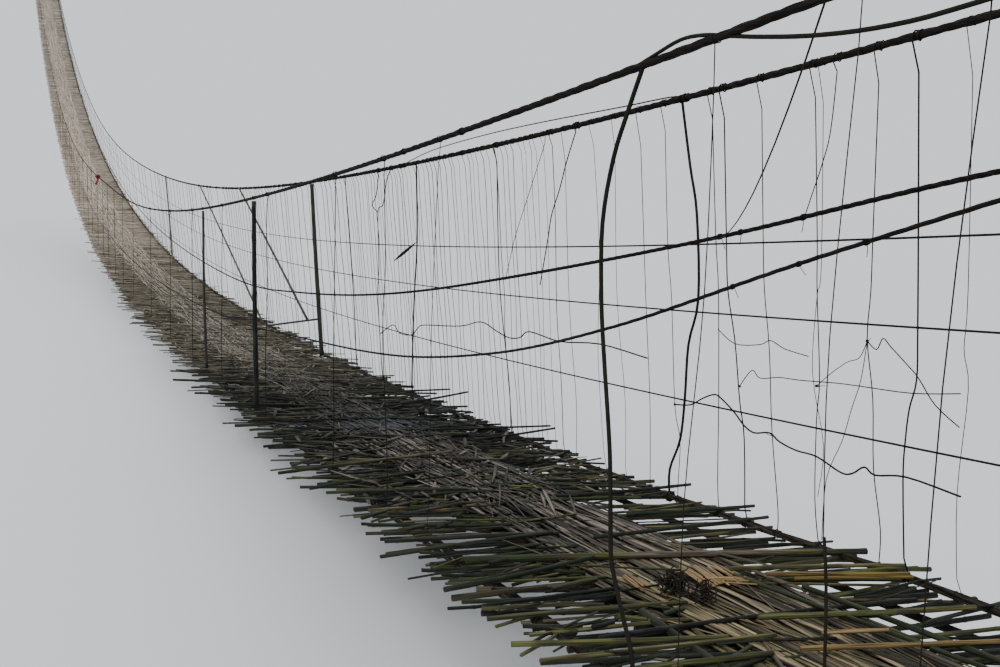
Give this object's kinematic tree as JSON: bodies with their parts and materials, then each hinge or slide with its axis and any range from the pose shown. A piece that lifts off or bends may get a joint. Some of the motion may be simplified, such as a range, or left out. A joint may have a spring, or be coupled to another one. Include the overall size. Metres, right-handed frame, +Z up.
{
  "type": "rope suspension footbridge, 1:10 scale model",
  "caption": "Narrow footbridge of crosswise bamboo poles and split matting hung in two upper cables, with hand ropes, hanger nets and log portals at both ends.",
  "frame": {"origin": "middle of the flat underside of the near sill log, on the bridge's centre line", "axes": "+X along the bridge from the near bank to the far bank, +Y to its left, +Z up"},
  "size_m": [12.762, 0.3006, 2.7113],
  "materials": {
    "weathered_log": "weathered bark-stripped log",
    "dark_rope": "dark twisted cane and fibre rope",
    "dark_wire": "dark rusted wire, dull",
    "bamboo_poles": "weathered bamboo poles, grey olive",
    "split_bamboo": "split bamboo strips, pale grey brown"
  },
  "bodies": {
    "root": {"near_sill": "weathered_log", "near_head_beam": "weathered_log", "near_post_left": "weathered_log", "near_post_right": "weathered_log", "near_anchor_log": "weathered_log", "far_sill": "weathered_log", "far_head_beam": "weathered_log", "far_post_left": "weathered_log", "far_post_right": "weathered_log", "far_anchor_log": "weathered_log", "upper_cable_left": "dark_rope", "upper_cable_right": "dark_rope", "hand_rope_left": "dark_rope", "hand_rope_right": "dark_rope", "deck_rope_left": "dark_rope", "deck_rope_right": "dark_rope", "side_rope_low": "dark_wire", "side_rope_middle": "dark_wire", "side_rope_high": "dark_wire", "deck_section_1": "bamboo_poles", "deck_section_2": "bamboo_poles", "deck_section_3": "bamboo_poles", "deck_section_4": "bamboo_poles", "deck_section_5": "bamboo_poles", "deck_section_6": "bamboo_poles", "deck_section_7": "bamboo_poles", "deck_section_8": "bamboo_poles", "walkway_mat_1": "split_bamboo", "walkway_mat_2": "split_bamboo", "walkway_mat_3": "split_bamboo", "walkway_mat_4": "split_bamboo", "hanger_net_left_1": "dark_wire", "hanger_net_left_2": "dark_wire", "hanger_net_left_3": "dark_wire", "hanger_net_left_4": "dark_wire", "hanger_net_right_1": "dark_wire", "hanger_net_right_2": "dark_wire", "hanger_net_right_3": "dark_wire", "hanger_net_right_4": "dark_wire", "spreader_post_left_1": "bamboo_poles", "spreader_post_left_2": "bamboo_poles", "spreader_post_right_1": "bamboo_poles", "spreader_post_right_2": "bamboo_poles", "brace_right_1": "bamboo_poles", "brace_right_2": "bamboo_poles"}
  },
  "joints": []
}
